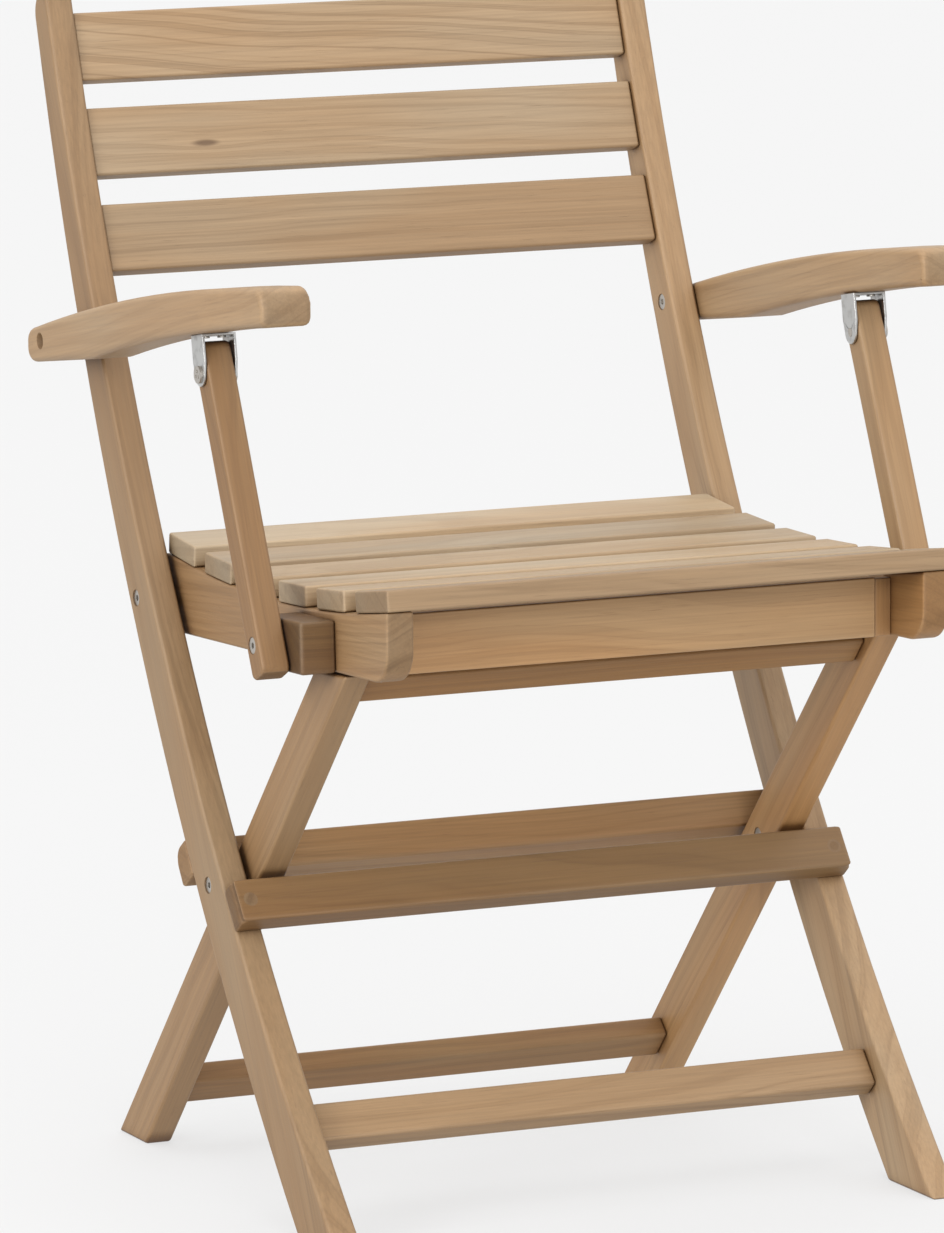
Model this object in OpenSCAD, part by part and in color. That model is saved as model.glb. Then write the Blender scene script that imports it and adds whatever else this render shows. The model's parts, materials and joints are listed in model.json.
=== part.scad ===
// Folding armchair in solid teak, shown open.
// X runs across the chair, the sitter looks towards -Y, Z is up and the feet stand on Z = 0.
// "Left" and "right" are as seen by someone facing the chair. Side profiles are drawn in (Y, Z).

/* [Overall] */
// Width across the outer faces of the two stiles
frame_w = 470; // [440:1:520]
// Thickness of the stile and leg boards, across the chair
board_t = 20.5; // [18:0.5:24]
// Gap between a stile and the leg or seat rail beside it
side_gap = 4; // [2:0.5:6]
// Height of the top ends of the stiles
back_top = 823; // [780:1:900]

/* [Pivots] */
// Seat pivot on the stile, front to back
seat_pivot_y = 100.5; // [90:0.5:110]
// Seat pivot height
seat_pivot_z = 406.5; // [395:0.5:415]
// Arm pivot on the stile, front to back
arm_pivot_y = 182.5; // [172:0.5:192]
// Arm pivot height
arm_pivot_z = 581.5; // [570:0.5:595]
// Post pivot on the seat, front to back
post_pivot_y = -163.5; // [-180:0.5:-150]
// Post pivot height
post_pivot_z = 413; // [405:1:420]
// Crossing of stile and leg, front to back
cross_y = -25.5; // [-30:0.5:-22]
// Crossing height
cross_z = 222.5; // [218:0.5:228]

/* [Back] */
// Width of each back slat along the stile
back_slat_w = 50; // [40:1:60]
// Thickness of a back slat
back_slat_t = 15; // [12:1:18]
// Height of the middle of the lowest back slat
back_slat_low = 651.5; // [630:0.5:670]
// Step from one back slat to the next, in height
back_slat_step = 65.8; // [60:0.2:72]

/* [Rails] */
// Width of the front middle rail along the stile
mid_rail_w = 32; // [28:1:38]
// Width of the rear middle rail along the stile
rear_rail_w = 27; // [22:1:34]
// Thickness of the rear middle rail
rear_rail_t = 22; // [18:1:24]
// Thickness of the front middle rail
mid_rail_t = 18; // [14:1:20]
// Width of the two lower stretchers
stretcher_w = 29.5; // [24:0.5:36]
// Thickness of the two lower stretchers
stretcher_t = 16.5; // [12:0.5:18]

/* [Legs] */
// Lean of the short legs from upright
leg_lean = 42.9; // [40:0.1:46]
// Width of a short leg seen from the side
leg_w = 37; // [32:1:40]

/* [Seat] */
// Front edge of the seat
seat_front = -282; // [-300:1:-270]
// Height of the seat surface at its lowest
seat_low_z = 444.3; // [430:0.1:460]
// Radius of the dished seat surface
seat_dish_r = 1400; // [1000:10:2500]
// Thickness of the seat slats
seat_slat_t = 15; // [12:1:18]
// Width of the five narrow seat slats
seat_slat_w = 47; // [40:1:52]
// Gap between seat slats
seat_slat_gap = 18.2; // [10:0.2:20]
// Thickness of the seat side rails
rail_t = 20; // [18:0.5:20]

/* [Arms] */
// Width of an armrest across the chair
arm_w = 37; // [30:1:45]
// Front end of the armrests
arm_front = -206; // [-240:1:-195]
// Back end of the armrests
arm_back = 209; // [203:1:215]
// Width of an arm post seen from the side
post_w = 21; // [18:1:24]
// Thickness of an arm post across the chair
post_t = 20.5; // [18:0.5:22]

/* [Hardware] */
// Radius of the bolt shanks
bolt_r = 3; // [2.5:0.5:4]
// Radius of the bolt heads and barrel nuts
head_r = 5.5; // [5:0.5:7]
// Thickness of the steel strip of the brackets
strip_t = 1.8; // [1.5:0.1:2.5]

/* [Hidden] */
$fn = 96;
teak = [0.76, 0.62, 0.44];
teak_dark = [0.68, 0.52, 0.34];
steel = [0.72, 0.72, 0.70];
arc_fn = 720;              // facets of the very large arcs
running = 0.08;            // radial clearance of a bolt that turns in wood
head_t = 3;                // thickness of a bolt head
sink = 4;                  // depth of the counterbores
sink_r = head_r + 0.5;     // radius of the counterbores

// places across the chair
stile_out = frame_w / 2;
stile_in = stile_out - board_t;
leg_out = stile_in - side_gap;
leg_in = leg_out - board_t;
rail_in = leg_out - rail_t;
arm_in = stile_out + 0.6;
post_in = stile_out + 2.5;
post_out = post_in + post_t;

// front and rear edges of a stile are two large arcs with their centres in front of the chair
front_c = [-1645, 1436.7];
front_r = 2001.4;
rear_c = [-1620.8, 1363.1];
rear_r = 1981.9;
function lean(z) = asin((front_c[1] - z) / front_r);
function rear_lean(z) = asin((rear_c[1] - z) / rear_r);
function front_at(z) = front_c + front_r * [cos(lean(z)), -sin(lean(z))];
function rear_at(z) = rear_c + rear_r * [cos(rear_lean(z)), -sin(rear_lean(z))];

seat_pivot = [seat_pivot_y, seat_pivot_z];
arm_pivot = [arm_pivot_y, arm_pivot_z];
post_pivot = [post_pivot_y, post_pivot_z];
bracket_pivot = post_pivot + arm_pivot - seat_pivot;   // the four arm pivots make a parallelogram
crossing = [cross_y, cross_z];
post_lean = atan((arm_pivot_y - seat_pivot_y) / (arm_pivot_z - seat_pivot_z));

dish_c = [-47, seat_low_z + seat_dish_r];              // centre of the seat's dish
rail_base = [seat_front, 399.7];                       // lower front point of a seat rail
rail_rise = 2.68;                                      // the rails rise a little to the front
front_slat_w = 54.5;
leg_top_gap = 1.3;
floor_h = 0;

// draws a side profile as a board between two places across the chair
module board(from_x, to_x) {
    translate([from_x, 0, 0]) rotate([90, 0, 90]) linear_extrude(to_x - from_x) children();
}

// a round bar along X, between two places across the chair, at a point of the side view
module bar(from_x, to_x, at, r, fn = 48) {
    translate([from_x, at[0], at[1]]) rotate([0, 90, 0]) cylinder(r = r, h = to_x - from_x, $fn = fn);
}

// the same piece on the other side of the chair
module other_side() {
    mirror([1, 0, 0]) children();
}

// the side profile of whatever lies on the stiles: x goes into the wood, y up the stile
module on_front(z) {
    translate(front_at(z)) rotate(-lean(z)) children();
}

module on_rear(z) {
    translate(rear_at(z)) rotate(-rear_lean(z)) children();
}

// the corner of a square end, to be taken off so that a round one is left
module corner_off(at, turn, r) {
    translate(at) rotate(turn) difference() {
        translate([-r - 2, -r - 2]) square(r + 4);
        translate([-r, -r]) circle(r, $fn = 64);
        translate([-r - 3, -r - 3]) square([r + 3, 3]);
        translate([-r - 3, -r - 3]) square([3, r + 3]);
    }
}

// what lies outside a round of radius r, between two directions from its centre
module round_off(at, from_turn, to_turn, r) {
    mid_turn = (from_turn + to_turn) / 2;
    reach = r + 6;
    difference() {
        polygon([at, at + reach * [cos(from_turn), sin(from_turn)],
            at + 1.6 * reach * [cos(mid_turn), sin(mid_turn)],
            at + reach * [cos(to_turn), sin(to_turn)]]);
        translate(at) circle(r, $fn = 64);
    }
}

// a point on a circle about c, right of its centre at a given height or above it at a given y
function right_of(c, radius, z) = [c[0] + sqrt(radius * radius - (z - c[1]) * (z - c[1])), z];
function over(c, radius, y) = [y, c[1] + sqrt(radius * radius - (y - c[0]) * (y - c[0]))];
function turn_to(from, to) = atan2(to[1] - from[1], to[0] - from[0]);

// stiles

stile_round = 18;
stile_front_round = 6;

module stile_profile() {
    top_rear = right_of(rear_c, rear_r - stile_round, back_top - stile_round);
    top_front = right_of(front_c, front_r + stile_front_round, back_top - stile_front_round);
    difference() {
        translate(rear_c) circle(rear_r, $fn = arc_fn);
        translate(front_c) circle(front_r, $fn = arc_fn);
        translate([-4000, -6000]) square([8000, 6000]);
        translate([-4000, back_top]) square([8000, 6000]);
        translate([-4600, -100]) square([4000, 2000]);
        round_off(top_rear, turn_to(rear_c, top_rear), 90, stile_round);
        round_off(top_front, 90, turn_to(top_front, front_c), stile_front_round);
    }
}

module stile() {
    color(teak) difference() {
        board(stile_in, stile_out) stile_profile();
        bar(stile_in - 1, stile_out + 1, crossing, bolt_r);
        bar(stile_out - sink, stile_out + 1, crossing, sink_r);
        bar(stile_in - 1, stile_out + 1, seat_pivot, bolt_r);
        bar(stile_out - sink, stile_out + 1, seat_pivot, sink_r);
        bar(stile_in - 1, stile_out + 1, arm_pivot, bolt_r);
        bar(stile_in - 1, stile_in + sink, arm_pivot, sink_r);
    }
}

module stile_right() {
    stile();
}

module stile_left() {
    other_side() stile();
}

// back slats, between the stiles and a little behind their front edges

module back_slat(step) {
    z = back_slat_low + step * back_slat_step;
    color(teak) board(-stile_in, stile_in)
        on_front(z) translate([4, -back_slat_w / 2]) square([back_slat_t, back_slat_w]);
}

// rails across the stiles, which also stop the legs from opening too far

front_rail_z = 210;
rear_rail_z = 236.6;

module front_mid_rail() {
    color(teak) difference() {
        board(-stile_out, stile_out)
            on_front(front_rail_z) translate([-mid_rail_t, -mid_rail_w / 2])
                square([mid_rail_t - 0.08, mid_rail_w]);
        front_plug_holes();
        // the ends are chamfered towards the front
        for (side = [0, 1]) mirror([side, 0, 0])
            translate([stile_out, front_at(front_rail_z)[0], front_at(front_rail_z)[1]])
                rotate([-lean(front_rail_z), 0, 0]) translate([0, -mid_rail_t, -40])
                    rotate([0, 0, 45]) translate([0, -4, 0]) cube([12, 8, 80]);
    }
}

module rear_mid_rail() {
    color(teak_dark) difference() {
        board(-stile_out, stile_out)
            on_rear(rear_rail_z) difference() {
                translate([0, -rear_rail_w / 2]) square([rear_rail_t, rear_rail_w]);
                corner_off([rear_rail_t, rear_rail_w / 2], 0, 12);
            }
        rear_plug_holes();
    }
}

// wooden plugs over the screws that hold those rails

plug_r = 5.2;
plug_t = 6;
plug_x = stile_out - board_t / 2;

module front_plug(extra) {
    for (side = [-1, 1]) translate([side * plug_x, front_at(front_rail_z)[0], front_at(front_rail_z)[1]])
        rotate([90 - lean(front_rail_z), 0, 0])
            translate([0, 0, mid_rail_t - plug_t]) cylinder(r = plug_r, h = plug_t + extra, $fn = 48);
}

module front_plug_holes() {
    front_plug(1);
}

module front_rail_plugs() {
    color(teak_dark) front_plug(0);
}

module rear_plug(extra) {
    for (side = [-1, 1]) translate([side * plug_x, rear_at(rear_rail_z)[0], rear_at(rear_rail_z)[1]])
        rotate([-90 - rear_lean(rear_rail_z), 0, 0])
            translate([0, 0, rear_rail_t - plug_t]) cylinder(r = plug_r, h = plug_t + extra, $fn = 48);
}

module rear_plug_holes() {
    rear_plug(1);
}

module rear_rail_plugs() {
    color(teak_dark) rear_plug(0);
}

module front_stretcher() {
    color(teak) board(-stile_in, stile_in)
        on_front(88) translate([15, -stretcher_w / 2]) square([stretcher_t, stretcher_w]);
}

// short legs

function rail_under(y) = rail_base[1] - (y - rail_base[0]) * tan(rail_rise);

module leg_profile() {
    intersection() {
        translate(crossing) rotate(leg_lean) translate([-leg_w / 2, -400]) square([leg_w, 800]);
        polygon([[-400, floor_h], [400, floor_h], [400, rail_under(400) - leg_top_gap],
            [-400, rail_under(-400) - leg_top_gap]]);
    }
}

module leg() {
    color(teak) difference() {
        board(leg_in, leg_out) leg_profile();
        bar(leg_in - 1, leg_out + 1, crossing, bolt_r + running);
        bar(leg_in - 1, leg_in + sink + 1, crossing, sink_r);
    }
}

module leg_right() {
    leg();
}

module leg_left() {
    other_side() leg();
}

// profile of a rail between the legs: x from the leg's front face, y up the leg from the crossing
module on_leg(up) {
    translate(crossing) rotate(leg_lean) translate([-leg_w / 2, up]) children();
}

module leg_top_rail() {
    color(teak_dark) board(-leg_in, leg_in) on_leg(213) translate([7, 0]) square([19, 24]);
}

module rear_stretcher() {
    color(teak) board(-leg_in, leg_in)
        on_leg(-254.5) translate([(leg_w - stretcher_t) / 2, 0]) square([stretcher_t, stretcher_w - 3]);
}

// seat

module rail_profile() {
    rear_r2 = 27.3;
    rear_hub = [seat_pivot_y, rail_under(seat_pivot_y) + rear_r2];
    difference() {
        union() {
            polygon([[seat_front, rail_under(seat_front)], [seat_pivot_y, rail_under(seat_pivot_y)],
                [seat_pivot_y, 470], [seat_front, 470]]);
            translate(rear_hub) circle(rear_r2, $fn = 96);
        }
        translate(dish_c) circle(seat_dish_r + seat_slat_t, $fn = arc_fn);
        round_off([seat_front + 24, rail_under(seat_front + 24) + 24 / cos(rail_rise)], 180,
            270 - rail_rise, 24);
    }
}

module seat_rail() {
    color(teak) difference() {
        board(rail_in, leg_out) rail_profile();
        bar(rail_in - 1, leg_out + 1, seat_pivot, bolt_r + running);
        bar(rail_in - 1, rail_in + sink + 1, seat_pivot, sink_r);
        bar(rail_in - 1, leg_out + 1, post_pivot, bolt_r);
        bar(rail_in - 1, rail_in + sink, post_pivot, sink_r);
    }
}

module seat_rail_right() {
    seat_rail();
}

module seat_rail_left() {
    other_side() seat_rail();
}

// a seat slat lies on the dish; number 1 is at the back and number 6 at the front
module seat_slat(number) {
    w = number == 6 ? front_slat_w : seat_slat_w;
    y = number == 6 ? seat_front + w / 2
        : seat_front + front_slat_w + (6 - number) * seat_slat_gap + (5.5 - number) * seat_slat_w;
    turn = asin((y - dish_c[0]) / seat_dish_r);
    color(teak) board(-leg_out, leg_out)
        translate(dish_c) rotate(turn) translate([-w / 2, -seat_dish_r - seat_slat_t + 0.25])
            square([w, seat_slat_t]);
}

apron_front = -234;
apron_half = leg_in - 12;

module seat_apron() {
    color(teak) board(-apron_half, apron_half)
        translate([apron_front, rail_under(apron_front)]) square([14, 41.5]);
}

// cleats that hold the apron between the seat rails
module apron_cleats() {
    color(teak) for (side = [0, 1]) mirror([side, 0, 0]) board(apron_half, rail_in)
        translate([apron_front + 1, rail_under(apron_front)]) square([12, 40.5]);
}

// blocks that carry the arm posts outside the stiles

block_out = post_in - 1;

module spacer_block() {
    color(teak) difference() {
        board(leg_out, block_out)
            translate([post_pivot_y - 34, rail_under(post_pivot_y - 34)]) rotate(-rail_rise)
                square([62, 36]);
        bar(leg_out - 1, block_out + 1, post_pivot, bolt_r);
    }
}

module spacer_block_right() {
    spacer_block();
}

module spacer_block_left() {
    other_side() spacer_block();
}

// arms

top_c = [-464.8, -1973.3];  // centre of the arc over the armrest
top_r = 2647.3;
under_c = [-483.4, -1689.6];
under_r = 2340.3;

// the last stretch of the underside is straight
tail_fall = 7.7;
tail_start = over(under_c, under_r, 92);
function tail_under(y) = tail_start[1] - (y - 92) * tan(tail_fall);
tail_top = over(top_c, top_r - 10, arm_back - 10);
tail_low = [arm_back - 10, tail_under(arm_back - 10) + 10 / cos(tail_fall)];
nose_top = over(top_c, top_r - 13, arm_front + 13);
nose_low = over(under_c, under_r + 6, arm_front + 6);

module arm_profile() {
    difference() {
        intersection() {
            translate(top_c) circle(top_r, $fn = arc_fn);
            translate([arm_front, 500]) square([arm_back - arm_front, 200]);
        }
        difference() {
            translate(under_c) circle(under_r, $fn = arc_fn);
            translate([92.5, 0]) square([400, 900]);
        }
        polygon([[92, 400], [arm_back + 9, 400], [arm_back + 9, tail_under(arm_back + 9)],
            [92, tail_under(92)]]);
        round_off(tail_top, 0, turn_to(top_c, tail_top), 10);
        round_off(tail_low, -90 - tail_fall, 0, 10);
        round_off(nose_top, turn_to(top_c, nose_top), 180, 13);
        round_off(nose_low, 180, turn_to(nose_low, under_c) + 360, 6);
    }
}

// the arm seen from above: its last stretch turns in a little
module arm_plan() {
    turn_in = 7;
    bend = -105;
    polygon([[arm_in, arm_back + 9], [arm_in, bend], [arm_in - turn_in, arm_front - 9],
        [arm_in - turn_in + arm_w, arm_front - 9], [arm_in + arm_w, bend], [arm_in + arm_w, arm_back + 9]]);
}

module arm() {
    color(teak) difference() {
        intersection() {
            board(arm_in - 20, arm_in + arm_w + 20) arm_profile();
            translate([0, 0, 500]) linear_extrude(200) arm_plan();
        }
        bar(arm_in - 1, arm_in + arm_w + 1, arm_pivot, bolt_r + running);
        bar(arm_in + 16, arm_in + arm_w + 1, arm_pivot, sink_r);
    }
}

module arm_right() {
    arm();
}

module arm_left() {
    other_side() arm();
}

// steel brackets under the arms

bracket_lean = 10;
under_arm = 27.4;              // from the bracket's pivot up to the underside of the arm
ear_r = 10.2;                  // half the width of an ear at the arm
ear_low = 8.2;                 // radius of its rounded lower end
ear_in = post_in - 0.4;
ear_out = post_out + 0.4;

module ear_profile() {
    translate(bracket_pivot) rotate(-bracket_lean) difference() {
        union() {
            circle(ear_low, $fn = 64);
            polygon([[-ear_low, 0], [ear_low, 0], [ear_r, 9], [ear_r, under_arm], [-ear_r, under_arm], [-ear_r, 9]]);
        }
        circle(bolt_r, $fn = 48);
    }
}

module bracket() {
    color(steel) {
        board(ear_in - strip_t, ear_in) ear_profile();
        board(ear_out, ear_out + strip_t) ear_profile();
        difference() {
            board(ear_in, ear_out) translate(bracket_pivot) rotate(-bracket_lean)
                translate([-ear_r, under_arm - strip_t]) square([2 * ear_r, strip_t]);
            bracket_screw_holes();
        }
    }
}

module bracket_screw(r, from_z, to_z) {
    for (step = [-6, 6]) translate([(ear_in + ear_out) / 2, bracket_pivot[0], bracket_pivot[1]])
        rotate([-bracket_lean, 0, 0]) translate([step, 0, from_z])
            cylinder(r = r, h = to_z - from_z, $fn = 48);
}

module bracket_screw_holes() {
    bracket_screw(1.75, 0, under_arm + 1);
}

module bracket_screws() {
    color(steel) {
        bracket_screw(3, under_arm - strip_t - 1.2, under_arm - strip_t);
        bracket_screw(1.75, under_arm - strip_t, under_arm);
    }
}

module bracket_pin() {
    color(steel) {
        difference() {
            bar(ear_out + strip_t, ear_out + strip_t + 1.8, bracket_pivot, 6);
            for (turn = [90, 210, 330])
                bar(ear_out + strip_t + 0.8, ear_out + strip_t + 3,
                    bracket_pivot + 2.4 * [cos(turn), sin(turn)], 1.1, 24);
        }
        bar(ear_in - strip_t, ear_out + strip_t, bracket_pivot, bolt_r);
    }
}

module bracket_right() {
    bracket();
}

module bracket_left() {
    other_side() bracket();
}

module bracket_screws_right() {
    bracket_screws();
}

module bracket_screws_left() {
    other_side() bracket_screws();
}

module bracket_pin_right() {
    bracket_pin();
}

module bracket_pin_left() {
    other_side() bracket_pin();
}

// arm posts

post_foot = 23;                // post below its lower pivot
post_head = 22;                // post above its upper pivot

module post_profile() {
    length = norm(bracket_pivot - post_pivot);
    translate(post_pivot) rotate(-post_lean) difference() {
        translate([-post_w / 2, -post_foot]) square([post_w, length + post_foot + post_head]);
        corner_off([post_w / 2, length + post_head], 0, 7);
        corner_off([-post_w / 2, length + post_head], 90, 7);
        corner_off([-post_w / 2, -post_foot], 180, 6);
        corner_off([post_w / 2, -post_foot], 270, 6);
    }
}

module post() {
    color(teak) difference() {
        board(post_in, post_out) post_profile();
        bar(post_in - 1, post_out + 1, post_pivot, bolt_r + running);
        bar(post_out - sink, post_out + 1, post_pivot, sink_r);
        bar(post_in - 1, post_out + 1, bracket_pivot, bolt_r + running);
    }
}

module post_right() {
    post();
}

module post_left() {
    other_side() post();
}

// bolts and barrel nuts; a bolt is a head with a hexagon socket and a plain shank

module bolt(at, head_x, end_x) {
    difference() {
        union() {
            bar(head_x - head_t, head_x, at, head_r);
            bar(end_x, head_x - head_t, at, bolt_r);
        }
        translate([head_x - 2, at[0], at[1]]) rotate([0, 90, 0]) cylinder(r = 2.3, h = 3, $fn = 6);
    }
}

module nut(at, inner_x, length) {
    difference() {
        bar(inner_x, inner_x + length, at, head_r);
        bar(inner_x + 1.5, inner_x + length + 1, at, bolt_r);
        translate([inner_x - 1, at[0], at[1]]) rotate([0, 90, 0]) cylinder(r = 2.3, h = 2, $fn = 6);
    }
}

module both_sides() {
    children();
    mirror([1, 0, 0]) children();
}

module crossing_bolts() {
    color(steel) both_sides() bolt(crossing, stile_out - 1, leg_in + 2.2);
}

module crossing_nuts() {
    color(steel) both_sides() nut(crossing, leg_in + 0.7, 3.8);
}

module seat_bolts() {
    color(steel) both_sides() bolt(seat_pivot, stile_out - 1, rail_in + 2.2);
}

module seat_nuts() {
    color(steel) both_sides() nut(seat_pivot, rail_in + 0.7, 3.8);
}

module arm_bolts() {
    color(steel) both_sides() bolt(arm_pivot, arm_in + 16 + head_t + 0.5, stile_in + 2.2);
}

module arm_nuts() {
    color(steel) both_sides() nut(arm_pivot, stile_in + 0.7, sink - 0.7);
}

module post_bolts() {
    color(steel) both_sides() bolt(post_pivot, post_out - 0.5, rail_in + 2.2);
}

module post_nuts() {
    color(steel) both_sides() nut(post_pivot, rail_in + 0.7, sink - 0.7);
}

// washers that keep the legs and the seat clear of the stiles
module pivot_washers() {
    color(steel) both_sides() for (at = [crossing, seat_pivot]) difference() {
        bar(stile_in - side_gap + 0.5, stile_in, at, 8);
        bar(stile_in - side_gap, stile_in + 1, at, bolt_r);
    }
}

stile_left();
stile_right();
back_slat(0);  // back_slat_bottom
back_slat(1);  // back_slat_middle
back_slat(2);  // back_slat_top
front_mid_rail();
rear_mid_rail();
front_stretcher();
front_rail_plugs();
rear_rail_plugs();
crossing_bolts();
crossing_nuts();
seat_bolts();
seat_nuts();
arm_bolts();
arm_nuts();
pivot_washers();
leg_left();
leg_right();
leg_top_rail();
rear_stretcher();
seat_rail_left();
seat_rail_right();
seat_slat(1);  // seat_slat_1
seat_slat(2);  // seat_slat_2
seat_slat(3);  // seat_slat_3
seat_slat(4);  // seat_slat_4
seat_slat(5);  // seat_slat_5
seat_slat(6);  // seat_slat_6
seat_apron();
apron_cleats();
spacer_block_left();
spacer_block_right();
post_bolts();
post_nuts();
arm_left();
arm_right();
bracket_left();
bracket_right();
bracket_screws_left();
bracket_screws_right();
bracket_pin_left();
bracket_pin_right();
post_left();
post_right();
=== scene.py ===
# Folding teak armchair: boards with softened edges, teak with growth rings, dull steel fittings.
import json
import math
import random

import bmesh
import bpy
from mathutils import Matrix, Vector


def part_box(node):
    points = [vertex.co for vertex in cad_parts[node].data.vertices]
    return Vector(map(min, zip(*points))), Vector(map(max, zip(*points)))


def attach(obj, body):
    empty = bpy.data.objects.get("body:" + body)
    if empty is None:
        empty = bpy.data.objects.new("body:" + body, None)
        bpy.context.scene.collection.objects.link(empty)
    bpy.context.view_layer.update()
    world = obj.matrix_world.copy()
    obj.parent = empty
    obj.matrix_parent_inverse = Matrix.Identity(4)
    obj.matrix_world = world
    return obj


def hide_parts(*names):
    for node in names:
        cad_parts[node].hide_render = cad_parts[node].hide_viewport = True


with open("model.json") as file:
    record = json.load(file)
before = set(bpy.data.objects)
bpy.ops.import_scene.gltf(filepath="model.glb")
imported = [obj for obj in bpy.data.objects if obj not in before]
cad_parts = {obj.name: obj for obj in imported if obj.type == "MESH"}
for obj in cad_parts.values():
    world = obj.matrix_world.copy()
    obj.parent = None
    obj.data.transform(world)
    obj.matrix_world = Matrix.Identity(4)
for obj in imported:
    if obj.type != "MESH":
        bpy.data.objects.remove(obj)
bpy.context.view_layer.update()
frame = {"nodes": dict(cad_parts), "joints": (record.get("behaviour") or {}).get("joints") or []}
nodes = frame["nodes"]
print("frame loaded:", len(nodes), "nodes")

acrossChair = (1, 0, 0)
facingFront = (0, -1, 0)
facingSide = (1, 0, 0)
facingUp = (0, 0, 1)


def leaning(degrees):
    # a direction up a board that leans back from upright
    return (0, math.sin(math.radians(degrees)), math.cos(math.radians(degrees)))


def findPivots():
    # where the bolts run, in the side view: (y, z) of every pivot
    found = {}
    for joint in frame["joints"]:
        found[joint["name"]] = Vector((joint["pos_m"][1], joint["pos_m"][2]))
    seat, arm, post = found["seat_fold"], found["arm_left_fold"], found["post_left_swing"]
    found["bracket"] = post + arm - seat  # the open pivot closes a parallelogram
    return found


pivots = findPivots()


# small helpers for node materials

def startMaterial(name):
    mat = bpy.data.materials.new(name)
    mat.use_nodes = True
    tree = mat.node_tree
    tree.nodes.clear()
    out = tree.nodes.new("ShaderNodeOutputMaterial")
    shader = tree.nodes.new("ShaderNodeBsdfPrincipled")
    tree.links.new(shader.outputs["BSDF"], out.inputs["Surface"])
    return mat, tree, shader


def plug(tree, socket, value):
    if hasattr(value, "is_output"):
        tree.links.new(value, socket)
    else:
        socket.default_value = value


def calc(tree, kind, a, b=0.0):
    node = tree.nodes.new("ShaderNodeMath")
    node.operation = kind
    plug(tree, node.inputs[0], a)
    plug(tree, node.inputs[1], b)
    return node.outputs[0]


def plus(tree, a, b):
    return calc(tree, "ADD", a, b)


def minus(tree, a, b):
    return calc(tree, "SUBTRACT", a, b)


def times(tree, a, b):
    return calc(tree, "MULTIPLY", a, b)


def reach(tree, a, b):
    return calc(tree, "SQRT", plus(tree, times(tree, a, a), times(tree, b, b)))


def dot(tree, a, b):
    node = tree.nodes.new("ShaderNodeVectorMath")
    node.operation = "DOT_PRODUCT"
    plug(tree, node.inputs[0], a)
    plug(tree, node.inputs[1], b)
    return node.outputs["Value"]


def joined(tree, x, y, z):
    node = tree.nodes.new("ShaderNodeCombineXYZ")
    for socket, value in zip(node.inputs, (x, y, z)):
        plug(tree, socket, value)
    return node.outputs[0]


def cloudy(tree, vector, scale, detail=2.0, rough=0.5):
    # noise with its own scale along each axis, in cycles per metre
    spread = tree.nodes.new("ShaderNodeVectorMath")
    spread.operation = "MULTIPLY"
    tree.links.new(vector, spread.inputs[0])
    spread.inputs[1].default_value = scale
    node = tree.nodes.new("ShaderNodeTexNoise")
    node.noise_dimensions = "3D"
    tree.links.new(spread.outputs[0], node.inputs["Vector"])
    node.inputs["Scale"].default_value = 1.0
    node.inputs["Detail"].default_value = detail
    node.inputs["Roughness"].default_value = rough
    return node.outputs["Fac"]


def eased(tree, value, low, high, toLow=0.0, toHigh=1.0):
    node = tree.nodes.new("ShaderNodeMapRange")
    node.interpolation_type = "SMOOTHSTEP"
    plug(tree, node.inputs["Value"], value)
    node.inputs["From Min"].default_value = low
    node.inputs["From Max"].default_value = high
    node.inputs["To Min"].default_value = toLow
    node.inputs["To Max"].default_value = toHigh
    return node.outputs["Result"]


def mixed(tree, amount, a, b, blend="MIX"):
    node = tree.nodes.new("ShaderNodeMix")
    node.data_type = "RGBA"
    node.blend_type = blend
    plug(tree, node.inputs[0], amount)
    plug(tree, node.inputs[6], a)
    plug(tree, node.inputs[7], b)
    return node.outputs[2]


def roughened(tree, shader, height, strength, depth):
    bump = tree.nodes.new("ShaderNodeBump")
    bump.inputs["Strength"].default_value = strength
    bump.inputs["Distance"].default_value = depth
    tree.links.new(height, bump.inputs["Height"])
    tree.links.new(bump.outputs["Normal"], shader.inputs["Normal"])


# teak

teakLook = {
    "pale": (0.318, 0.219, 0.125, 1),   # early wood
    "tan": (0.220, 0.139, 0.070, 1),    # late wood
    "line": (0.105, 0.056, 0.025, 1),   # the dark edge of a ring
    "warm": (0.292, 0.184, 0.094, 1),
    "cool": (0.300, 0.228, 0.148, 1),
    "pore": (0.095, 0.050, 0.023, 1),
    "rubbed": (0.40, 0.30, 0.20, 1),    # on worn edges
    "ringSpacing": 0.0070,              # metres between rings
    "wander": 0.044,                    # how far the rings drift, in metres
    "sway": 0.0045,
    "roughness": 0.46,
    "paintedShadeReach": 0.012,                 # how near another board has to be for painted shade to darken this one
    "wornReach": 0.004,                 # how far the wear reaches in from an edge
}


def boardAxes(tree, place, grain, face, seed):
    # u runs up the grain, v across the board and w through it; the seed says where in the tree it grew
    rnd = random.Random(seed)
    start = [rnd.uniform(2, 9) for _ in range(3)]
    u = plus(tree, dot(tree, place, grain), start[0])
    v = dot(tree, place, grain.cross(face).normalized())
    w = dot(tree, place, face)
    board = joined(tree, u, plus(tree, v, start[1]), plus(tree, w, start[2]))
    return u, v, w, board, start[0]


def ringPlace(tree, u, v, w, board, look):
    # the rings lie around a pith beside the board, and wander a little along it
    wander = cloudy(tree, board, (2.6, 9, 9), 2, 0.45)
    sway = cloudy(tree, board, (7, 26, 26), 2, 0.5)
    pithV, pithW = look["pith"]
    ring = reach(tree, plus(tree, v, pithV), plus(tree, w, pithW))
    ring = plus(tree, ring, times(tree, u, look.get("tilt", 0.02)))
    ring = plus(tree, ring, times(tree, wander, teakLook["wander"]))
    ring = plus(tree, ring, times(tree, sway, teakLook["sway"]))
    return ring, sway


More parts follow.
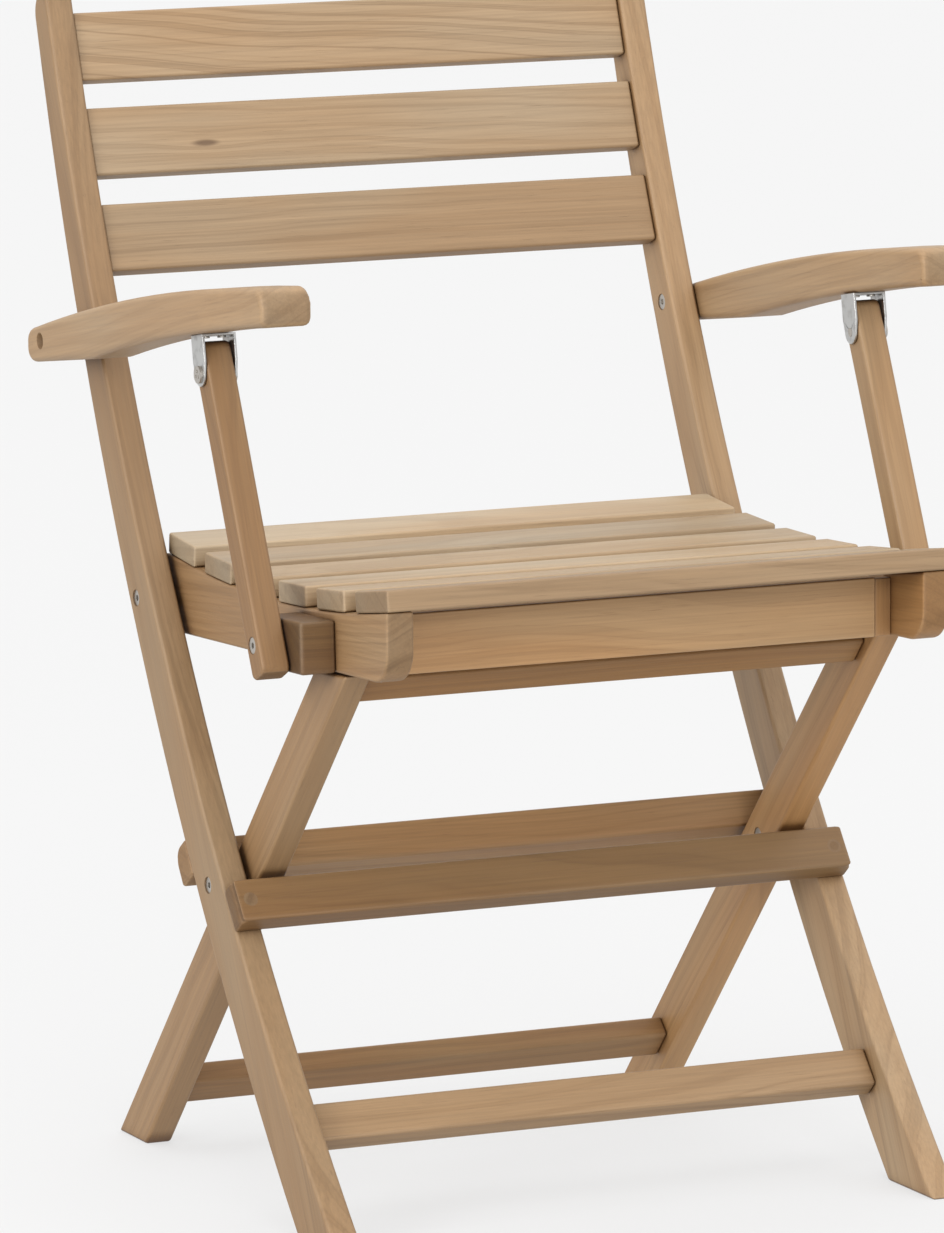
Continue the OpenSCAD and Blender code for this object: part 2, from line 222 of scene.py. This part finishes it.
def pushedAside(tree, ring, sway, u, v, knot):
    # the rings bend round a long dark knot; knot is (place up the grain, place across, radius)
    upGrain, across, radius = knot
    du = times(tree, minus(tree, u, upGrain), 0.24)
    far = reach(tree, du, minus(tree, v, across))
    ring = plus(tree, ring, eased(tree, far, 0.0, radius * 4.0, radius * 1.6, 0.0))
    ragged = plus(tree, far, times(tree, minus(tree, sway, 0.5), radius * 1.3))
    return ring, eased(tree, ragged, radius * 0.35, radius, 1.0, 0.0)


def growthBands(tree, ring):
    years = tree.nodes.new("ShaderNodeTexNoise")
    years.noise_dimensions = "1D"
    tree.links.new(times(tree, ring, 1 / teakLook["ringSpacing"]), years.inputs["W"])
    years.inputs["Scale"].default_value = 1.0
    years.inputs["Detail"].default_value = 2.0
    years.inputs["Roughness"].default_value = 0.55
    return years.outputs["Fac"]


def woodColour(tree, board, band, fibre, pore, contrast):
    late = eased(tree, band, 0.40, 0.66)
    line = eased(tree, calc(tree, "ABSOLUTE", minus(tree, band, 0.60)), 0.0, 0.055, 1.0, 0.0)
    vein = eased(tree, cloudy(tree, board, (3.4, 260, 260), 2, 0.5), 0.66, 0.76)
    blotch = cloudy(tree, board, (3.2, 16, 16), 2, 0.5)
    streak = cloudy(tree, board, (4.5, 120, 120), 2, 0.55)
    colour = mixed(tree, times(tree, late, 0.44 * contrast), teakLook["pale"], teakLook["tan"])
    colour = mixed(tree, times(tree, line, 0.20 * contrast), colour, teakLook["line"])
    colour = mixed(tree, times(tree, vein, 0.30), colour, teakLook["line"])
    colour = mixed(tree, eased(tree, blotch, 0.35, 0.68, 0.0, 0.62), colour, teakLook["warm"])
    colour = mixed(tree, eased(tree, streak, 0.52, 0.75, 0.0, 0.42), colour, teakLook["tan"])
    colour = mixed(tree, eased(tree, blotch, 0.55, 0.28, 0.0, 0.55), colour, teakLook["cool"])
    grey = plus(tree, times(tree, fibre, 0.46), 0.77)
    colour = mixed(tree, 1.0, colour, joined(tree, grey, grey, grey), "MULTIPLY")
    return mixed(tree, times(tree, pore, 0.30), colour, teakLook["pore"])


def tonedAndShaded(tree, colour, endGrain, look):
    # cut ends drink the light; the board's level and its browning, which takes green and blue out, mix
    # the board's own tone with painted light and shade: lower and browner where a board sits in shadow,
    # paler where the seat tops catch a sheen
    browningAndShade = look.get("browningAndShade", 0.0)
    level = times(tree, minus(tree, 1.0, times(tree, endGrain, 0.26)), look["toneAndLight"])
    tint = joined(tree, level, times(tree, level, 1.0 - browningAndShade * 0.44), times(tree, level, 1.0 - browningAndShade))
    return mixed(tree, 1.0, colour, tint, "MULTIPLY")


def edgeWear(tree, sway):
    soft = tree.nodes.new("ShaderNodeBevel")
    soft.samples = 4
    soft.inputs["Radius"].default_value = teakLook["wornReach"]
    flat = tree.nodes.new("ShaderNodeNewGeometry")
    bent = dot(tree, soft.outputs["Normal"], flat.outputs["True Normal"])
    patchy = eased(tree, sway, 0.35, 0.65, 0.25, 1.0)
    return times(tree, eased(tree, bent, 0.995, 0.90, 0.0, 1.0), patchy)


def paintedJointShade(tree, colour):
    # painted shade: the colour is darkened and browned in the joints, bores and gaps where another board
    # is near
    nook = tree.nodes.new("ShaderNodeAmbientOcclusion")
    nook.samples = 4
    nook.inputs["Distance"].default_value = teakLook["paintedShadeReach"]
    depth = eased(tree, nook.outputs["AO"], 0.10, 0.90, 0.34, 1.0)
    brown = joined(tree, depth, calc(tree, "POWER", depth, 1.3), calc(tree, "POWER", depth, 1.8))
    return mixed(tree, 1.0, colour, brown, "MULTIPLY")


def teak(name, grain, face, look):
    mat, tree, shader = startMaterial(name)
    place = tree.nodes.new("ShaderNodeTexCoord")
    grain = Vector(grain).normalized()
    face = Vector(face).normalized()
    u, v, w, board, start = boardAxes(tree, place.outputs["Object"], grain, face, look["seed"])
    ring, sway = ringPlace(tree, u, v, w, board, look)
    knotMask = None
    if "knot" in look:
        upGrain, across, radius = look["knot"]
        ring, knotMask = pushedAside(tree, ring, sway, u, v, (start + upGrain, across, radius))
    band = growthBands(tree, ring)
    fibre = cloudy(tree, board, (9, 620, 620), 3, 0.6)
    pore = eased(tree, cloudy(tree, board, (30, 1700, 1700), 2, 0.6), 0.66, 0.74)

    colour = woodColour(tree, board, band, fibre, pore, look.get("contrast", 1.0))
    if knotMask is not None:
        colour = mixed(tree, times(tree, knotMask, 0.80), colour, teakLook["pore"])
    towardsEnd = calc(tree, "ABSOLUTE", dot(tree, place.outputs["Normal"], grain))
    endGrain = eased(tree, towardsEnd, 0.62, 0.93)
    # each board's level and browning mix its own tone with painted shade and painted sheen
    colour = tonedAndShaded(tree, colour, endGrain, look)
    worn = edgeWear(tree, sway)
    colour = mixed(tree, times(tree, worn, 0.22), colour, teakLook["rubbed"])
    # the colour gets painted shade in the joints and gaps before it goes in
    tree.links.new(paintedJointShade(tree, colour), shader.inputs["Base Color"])

    rough = plus(tree, times(tree, fibre, 0.16), teakLook["roughness"])
    rough = plus(tree, rough, times(tree, endGrain, 0.12))
    rough = minus(tree, rough, times(tree, worn, 0.08))
    tree.links.new(rough, shader.inputs["Roughness"])
    shader.inputs["Specular IOR Level"].default_value = 0.45

    height = plus(tree, times(tree, fibre, 0.8), times(tree, band, 0.35))
    height = minus(tree, height, times(tree, pore, 0.9))
    roughened(tree, shader, height, 0.40, 0.00035)
    return mat


# steel

steelLook = {
    "bolt": {"colour": (0.46, 0.43, 0.39), "roughness": 0.30, "brushed": (1, 0, 0), "edge": 0.00035},
    "strip": {"colour": (0.52, 0.52, 0.51), "roughness": 0.24, "brushed": (0, 0, 1), "edge": 0.0004},
}


def steel(name, look):
    mat, tree, shader = startMaterial(name)
    place = tree.nodes.new("ShaderNodeTexCoord").outputs["Object"]
    bright = look["colour"] + (1,)
    dull = tuple(c * 0.62 for c in look["colour"]) + (1,)
    brush = [60 + 2400 * (1 - abs(c)) for c in look["brushed"]]
    scratch = cloudy(tree, place, brush, 3, 0.6)
    stain = cloudy(tree, place, (160, 160, 160), 3, 0.55)
    colour = mixed(tree, eased(tree, stain, 0.45, 0.75, 0.0, 0.55), bright, dull)
    tree.links.new(colour, shader.inputs["Base Color"])
    shader.inputs["Metallic"].default_value = 1.0
    rough = plus(tree, times(tree, scratch, 0.14), look["roughness"])
    rough = plus(tree, rough, eased(tree, stain, 0.45, 0.8, 0.0, 0.16))
    tree.links.new(rough, shader.inputs["Roughness"])
    roughened(tree, shader, scratch, 0.25, 0.00008)
    return mat


# boards with softened edges

edgeLook = {
    "boreReach": 0.0085,               # a bolt's counterbore and the wood round it
    "plugAt": 0.22475,                 # sideways place of the plugs in the middle rails
    "plugReach": 0.00625,              # how far their pockets reach sideways from there
    "rimStep": 0.0012,                 # the short sides of a pocket's rim are under this
    "pocketDepth": 0.0075,
    "arcStep": 0.0020,                 # shortest side left on a rounded outline
    "sameSpot": 0.00001,
    "sharp": math.radians(27),         # edges that turn more than this are rounded
    "flat": math.radians(0.12),        # faces that turn less than this are one face
}


def byPivot(point):
    flat = Vector((point[1], point[2]))
    return any((flat - spot).length < edgeLook["boreReach"] for spot in pivots.values())


def byPlug(point):
    return abs(abs(point[0]) - edgeLook["plugAt"]) < edgeLook["plugReach"]


def onPocket(ends):
    # the rim of a plug's pocket has many short sides, and its walls run straight in
    length = (ends[0] - ends[1]).length
    straightIn = abs(abs(ends[0].x) - abs(ends[1].x)) < edgeLook["sameSpot"]
    small = length < edgeLook["rimStep"] or (straightIn and length < edgeLook["pocketDepth"])
    return small and all(byPlug(p) for p in ends)


def isSharp(e):
    return len(e.link_faces) == 2 and e.calc_face_angle(0.0) >= edgeLook["sharp"]


def outlinePoint(v):
    return round(v.co.y, 5), round(v.co.z, 5)


def thinOutline(work, hasPlugs):
    # both ends of a board share one outline, so its points are thinned as (y, z) pairs
    corners = set()
    for e in work.edges:
        way = e.verts[1].co - e.verts[0].co
        if isSharp(e) and abs(way.x) > 0.99 * way.length:
            corners.update(outlinePoint(v) for v in e.verts)
    free = [v for v in work.verts if not byPivot(v.co) and not (hasPlugs and byPlug(v.co))]
    kept = [Vector(p) for p in sorted(corners)]
    moved = {}
    for point in sorted({outlinePoint(v) for v in free} - corners):
        spot = Vector(point)
        near = min(kept, key=lambda other: (other - spot).length, default=None)
        if near is not None and (near - spot).length < edgeLook["arcStep"]:
            moved[point] = near
        else:
            kept.append(spot)
    for v in free:
        target = moved.get(outlinePoint(v))
        if target is not None:
            v.co.y, v.co.z = target
    bmesh.ops.remove_doubles(work, verts=work.verts, dist=edgeLook["sameSpot"])


def cutAcrossHoles(work, grain, hasPlugs):
    # a seam square across each bore, so that no other line has to run from a bore to the board's edge
    grain = Vector(grain).normalized()
    cuts = []
    for spot in pivots.values():
        bored = any((Vector(v.co.yz) - spot).length < edgeLook["boreReach"] for v in work.verts)
        if bored and abs(grain.x) < 0.5:
            cuts.append((0, spot.x, spot.y))
    if hasPlugs:
        cuts += [(edgeLook["plugAt"], 0, 0), (-edgeLook["plugAt"], 0, 0)]
    for place in cuts:
        whole = work.verts[:] + work.edges[:] + work.faces[:]
        done = bmesh.ops.bisect_plane(work, geom=whole, dist=0.000001, plane_co=place, plane_no=grain)
        for item in done["geom_cut"]:
            if isinstance(item, bmesh.types.BMEdge):
                item.seam = True


def softenedBoard(node, body, radius, grain=acrossChair, steps=3, hasPlugs=False):
    work = bmesh.new()
    work.from_mesh(nodes[node].data)
    thinOutline(work, hasPlugs)
    bmesh.ops.remove_doubles(work, verts=work.verts, dist=0.00028)
    cutAcrossHoles(work, grain, hasPlugs)
    bmesh.ops.dissolve_limit(work, angle_limit=edgeLook["flat"], verts=work.verts, edges=work.edges,
                             delimit={"SEAM"})
    arrises = []
    for e in work.edges:
        ends = [v.co for v in e.verts]
        boreRim = all(byPivot(p) for p in ends)
        if isSharp(e) and not boreRim and not (hasPlugs and onPocket(ends)):
            arrises.append(e)
    bmesh.ops.bevel(work, geom=arrises, offset=radius, offset_type="OFFSET", segments=steps, profile=0.5,
                    affect="EDGES", clamp_overlap=False, loop_slide=False)
    bmesh.ops.remove_doubles(work, verts=work.verts, dist=0.000004)
    low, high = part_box(node)
    for v in work.verts:
        v.co = Vector(min(max(v.co[i], low[i]), high[i]) for i in range(3))
    for f in work.faces:
        f.smooth = True
    mesh = bpy.data.meshes.new(node + "_board")
    work.to_mesh(mesh)
    work.free()
    piece = bpy.data.objects.new(node + "_board", mesh)
    bpy.context.scene.collection.objects.link(piece)
    level = piece.modifiers.new("evenNormals", "WEIGHTED_NORMAL")
    level.weight = 80
    level.keep_sharp = False
    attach(piece, body)
    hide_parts(node)
    return piece


def addTeak(piece, node, grain, face, look):
    piece.data.materials.append(teak(node + "Teak", grain, face, look))


def dressNode(node, mat):
    node.data.materials.clear()
    node.data.materials.append(mat)


# back

backLean = leaning(20)
backFace = (0, -backLean[2], backLean[1])
# each board's tone and browning mix its own colour with painted light and shade
backBoards = {
    "back_slat_top": {"seed": 11, "pith": (0.004, -0.022), "tilt": 0.09, "contrast": 1.7, "toneAndLight": 1.02,
                      "browningAndShade": 0.06},
    "back_slat_middle": {"seed": 24, "pith": (-0.05, -0.05), "tilt": 0.03, "toneAndLight": 0.98},
    "back_slat_bottom": {"seed": 37, "pith": (0.07, -0.03), "contrast": 1.3, "toneAndLight": 0.88, "browningAndShade": 0.09},
}
slatKnot = {"slat": "back_slat_middle", "along": -0.126, "below": 0.005, "radius": 0.0034}


def knotOnSlat():
    low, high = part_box(slatKnot["slat"])
    downSlat = Vector(acrossChair).cross(Vector(backFace)).normalized()
    across = ((low + high) / 2).dot(downSlat) + slatKnot["below"]
    return slatKnot["along"], across, slatKnot["radius"]


backBoards[slatKnot["slat"]]["knot"] = knotOnSlat()
for name, look in backBoards.items():
    board = softenedBoard(name, "back_frame", 0.0024)
    addTeak(board, name, acrossChair, backFace, look)
print("back slats done")

# stiles

stileGrain = leaning(28)
# each stile's tone and browning mix its own colour with painted light and shade
stiles = {
    "stile_left": {"seed": 51, "pith": (0.11, 0.16), "tilt": 0.012, "toneAndLight": 0.78, "browningAndShade": 0.22},
    "stile_right": {"seed": 64, "pith": (0.09, -0.14), "tilt": 0.014, "toneAndLight": 1.0, "browningAndShade": 0.12},
}
for name, look in stiles.items():
    board = softenedBoard(name, "back_frame", 0.0026, stileGrain)
    addTeak(board, name, stileGrain, facingSide, look)

# legs

legGrain = leaning(-42.9)
# each leg's tone and browning mix its own colour with painted light and shade
legs = {
    "leg_left": {"seed": 77, "pith": (0.07, 0.15), "tilt": 0.016, "toneAndLight": 0.83, "browningAndShade": 0.24},
    "leg_right": {"seed": 83, "pith": (0.08, -0.13), "toneAndLight": 1.13, "browningAndShade": 0.42},
}
for name, look in legs.items():
    board = softenedBoard(name, "legs", 0.0024, legGrain)
    addTeak(board, name, legGrain, facingSide, look)
print("stiles and legs done")

# rails across the chair

# the rails under the seat are darker and browner, partly their own tone and partly painted shade, the
# front middle rail most of all
crossRails = {
    "front_mid_rail": {"body": "back_frame", "face": (0, -0.8, 0.6), "seed": 91, "pith": (0.05, 0.06),
                       "toneAndLight": 0.56, "browningAndShade": 0.50},
    "rear_mid_rail": {"body": "back_frame", "face": (0, -0.8, 0.6), "seed": 97, "pith": (0.06, 0.05),
                      "toneAndLight": 0.90, "browningAndShade": 0.36},
    "front_stretcher": {"body": "back_frame", "face": (0, -0.75, 0.66), "seed": 103, "pith": (0.08, 0.03),
                        "toneAndLight": 0.90, "browningAndShade": 0.12},
    "leg_top_rail": {"body": "legs", "face": (0, -0.73, -0.68), "seed": 109, "pith": (0.03, 0.08),
                     "toneAndLight": 0.77, "browningAndShade": 0.58},
    "rear_stretcher": {"body": "legs", "face": (0, -0.73, -0.68), "seed": 113, "pith": (0.06, 0.03),
                       "toneAndLight": 0.70, "browningAndShade": 0.48},
}
for name, look in crossRails.items():
    board = softenedBoard(name, look["body"], 0.0022, hasPlugs=name.endswith("mid_rail"))
    addTeak(board, name, acrossChair, look["face"], look)
print("rails done")

# seat

# each slat's own tone together with a painted sheen that makes the slats behind the front one paler
seatToneAndSheen = (1.26, 1.03, 1.16, 1.20, 1.12, 0.84)  # from the back of the seat to the front
for number, toneAndLight in enumerate(seatToneAndSheen, 1):
    name = "seat_slat_%d" % number
    board = softenedBoard(name, "seat", 0.0018)
    look = {
        "seed": 120 + 7 * number,
        "pith": (0.03 + 0.02 * (number % 3), 0.05 if number % 2 else -0.09),
        "tilt": 0.018 + 0.006 * (number % 2),
        "contrast": 0.9,
        "toneAndLight": toneAndLight,
        "browningAndShade": 0.04 if number == 6 else -0.14,  # all but the front slat are paler and whiter, as a painted sheen on the seat tops
    }
    addTeak(board, name, acrossChair, facingUp, look)

railGrain = (0, 1, -0.047)
# each piece's tone and browning mix its own colour with painted light and shade; the spacer blocks, the
# left one most, are darker and browner partly as painted shade
seatFrame = {
    "seat_rail_left": {"grain": railGrain, "face": facingSide, "radius": 0.0022, "seed": 171,
                       "pith": (0.012, 0.05), "tilt": 0.05, "contrast": 1.3, "toneAndLight": 0.82, "browningAndShade": 0.28},
    "seat_rail_right": {"grain": railGrain, "face": facingSide, "radius": 0.0022, "seed": 178,
                        "pith": (0.02, -0.05), "tilt": 0.03, "contrast": 1.2, "toneAndLight": 0.90, "browningAndShade": 0.50},
    "seat_apron": {"grain": acrossChair, "face": facingFront, "radius": 0.0012, "seed": 186,
                   "pith": (0.10, 0.03), "tilt": 0.012, "toneAndLight": 1.16, "browningAndShade": 0.34},
    "apron_cleats": {"grain": facingUp, "face": facingFront, "radius": 0.0008, "seed": 191,
                     "pith": (0.03, 0.05), "toneAndLight": 0.94, "browningAndShade": 0.46},
    "spacer_block_left": {"grain": acrossChair, "face": facingFront, "radius": 0.0022, "seed": 197,
                          "pith": (0.02, 0.04), "contrast": 1.1, "toneAndLight": 0.36, "browningAndShade": 0.64},
    "spacer_block_right": {"grain": acrossChair, "face": facingFront, "radius": 0.0022, "seed": 203,
                           "pith": (0.03, 0.04), "contrast": 1.1, "toneAndLight": 0.60, "browningAndShade": 0.40},
}
for name, look in seatFrame.items():
    board = softenedBoard(name, "seat", look["radius"], look["grain"])
    addTeak(board, name, look["grain"], look["face"], look)
print("seat done")

# arms

armGrain = (0, 1, -0.19)
# each arm's tone and browning mix its own colour with painted light and shade
arms = {
    "arm_left": {"seed": 211, "pith": (0.09, 0.03), "tilt": 0.03, "toneAndLight": 0.98, "browningAndShade": 0.08},
    "arm_right": {"seed": 218, "pith": (0.08, 0.04), "tilt": 0.03, "toneAndLight": 1.02, "browningAndShade": 0.17},
}
for name, look in arms.items():
    board = softenedBoard(name, name, 0.0048, armGrain, 4)
    addTeak(board, name, armGrain, facingSide, look)

# posts

postGrain = leaning(25)
# each post's tone and browning mix its own colour with painted light and shade; the left post is darker
# partly as painted shade
posts = {
    "post_left": {"seed": 226, "pith": (0.05, 0.09), "contrast": 0.9, "toneAndLight": 0.66, "browningAndShade": 0.46},
    "post_right": {"seed": 233, "pith": (0.05, -0.09), "contrast": 0.9, "toneAndLight": 0.93, "browningAndShade": 0.28},
}
for name, look in posts.items():
    board = softenedBoard(name, name, 0.0022, postGrain)
    addTeak(board, name, postGrain, facingSide, look)
print("arms and posts done")

# plugs over the rail screws

# the plugs' tone and browning mix their own colour with painted shade
plugTeak = teak("plugTeak", (0, -0.8, 0.6), acrossChair,
                {"seed": 240, "pith": (0.02, 0.02), "contrast": 1.2, "toneAndLight": 0.70, "browningAndShade": 0.3})
for name in ("front_rail_plugs", "rear_rail_plugs"):
    dressNode(nodes[name], plugTeak)


# steel fittings keep their exact shape, with a small bevel

def easeFitting(node, edge):
    merge = node.modifiers.new("mergeCorners", "WELD")
    merge.merge_threshold = edgeLook["sameSpot"]
    ease = node.modifiers.new("easedEdges", "BEVEL")
    ease.width = edge
    ease.segments = 2
    ease.limit_method = "ANGLE"
    ease.angle_limit = math.radians(40)
    for f in node.data.polygons:
        f.use_smooth = True
    level = node.modifiers.new("evenNormals", "WEIGHTED_NORMAL")
    level.weight = 80


boltSteel = steel("boltSteel", steelLook["bolt"])
stripSteel = steel("stripSteel", steelLook["strip"])
for name, node in nodes.items():
    if name in ("bracket_left", "bracket_right"):
        dressNode(node, stripSteel)
        easeFitting(node, steelLook["strip"]["edge"])
    elif any(word in name for word in ("bolts", "nuts", "washers", "screws", "pin")):
        dressNode(node, boltSteel)
        easeFitting(node, steelLook["bolt"]["edge"])
print("fittings done")


# floor, light and camera

floorLook = {
    "colour": (0.17, 0.17, 0.17, 1),
    "glow": 0.632,   # the floor is lit from below too, so the shadows on it stay faint
    "reach": 30.0,
}


def makeFloor():
    mesh = bpy.data.meshes.new("paleFloor")
    half = floorLook["reach"]
    corners = [(-half, -half, 0), (half, -half, 0), (half, half, 0), (-half, half, 0)]
    mesh.from_pydata(corners, [], [(0, 1, 2, 3)])
    floor = bpy.data.objects.new("paleFloor", mesh)
    bpy.context.scene.collection.objects.link(floor)
    mat, tree, shader = startMaterial("paleFloorPaint")
    shader.inputs["Base Color"].default_value = floorLook["colour"]
    shader.inputs["Roughness"].default_value = 0.9
    shader.inputs["Specular IOR Level"].default_value = 0.1
    shader.inputs["Emission Color"].default_value = (1, 1, 1, 1)
    shader.inputs["Emission Strength"].default_value = floorLook["glow"]
    mesh.materials.append(mat)


skyLook = {"colour": (1.0, 1.0, 1.0, 1), "horizon": 0.70, "overhead": 1.80}


def makeSky():
    # brighter overhead than at the horizon
    world = bpy.data.worlds.new("studio")
    bpy.context.scene.world = world
    world.use_nodes = True
    tree = world.node_tree
    back = tree.nodes["Background"]
    place = tree.nodes.new("ShaderNodeTexCoord")
    height = dot(tree, place.outputs["Generated"], (0, 0, 1))
    strength = eased(tree, height, -0.1, 1.0, skyLook["horizon"], skyLook["overhead"])
    tree.links.new(strength, back.inputs["Strength"])
    back.inputs["Color"].default_value = skyLook["colour"]


softboxes = {
    "frontBox": {"place": (-1.2, -6.0, 2.2), "power": 145, "size": 2.6},
    "leftBox": {"place": (-4.0, -1.6, 1.8), "power": 85, "size": 1.8},
}
chairMiddle = Vector((0, 0, 0.4))


def makeSoftbox(name, look):
    lamp = bpy.data.lights.new(name, "AREA")
    lamp.shape = "DISK"
    lamp.size = look["size"]
    lamp.energy = look["power"]
    box = bpy.data.objects.new(name, lamp)
    box.location = look["place"]
    aim = chairMiddle - Vector(look["place"])
    box.rotation_euler = aim.to_track_quat("-Z", "Y").to_euler()
    bpy.context.scene.collection.objects.link(box)


cameraSetup = {
    "place": (-2.5445, -5.5922, 1.3812),
    "azimuth": -24.287,
    "elevation": 9.156,
    "roll": -0.358,
    "lens": 336.9,
}


def makeCamera():
    turn, rise, roll = (math.radians(cameraSetup[k]) for k in ("azimuth", "elevation", "roll"))
    toCamera = Vector((math.sin(turn) * math.cos(rise), -math.cos(turn) * math.cos(rise), math.sin(rise)))
    right = Vector((math.cos(turn), math.sin(turn), 0))
    up = toCamera.cross(right)
    sideways = right * math.cos(roll) + up * math.sin(roll)
    upward = up * math.cos(roll) - right * math.sin(roll)
    data = bpy.data.cameras.new("chairCamera")
    data.sensor_fit = "HORIZONTAL"
    data.sensor_width = 36
    data.lens = cameraSetup["lens"]
    data.clip_end = 200
    camera = bpy.data.objects.new("chairCamera", data)
    turned = Matrix((sideways, upward, toCamera)).transposed().to_4x4()
    camera.matrix_world = Matrix.Translation(Vector(cameraSetup["place"])) @ turned
    bpy.context.scene.collection.objects.link(camera)
    bpy.context.scene.camera = camera


makeFloor()
makeSky()
for name, look in softboxes.items():
    makeSoftbox(name, look)
makeCamera()
bpy.context.scene.view_settings.view_transform = "Standard"
print("floor, lights and camera done")
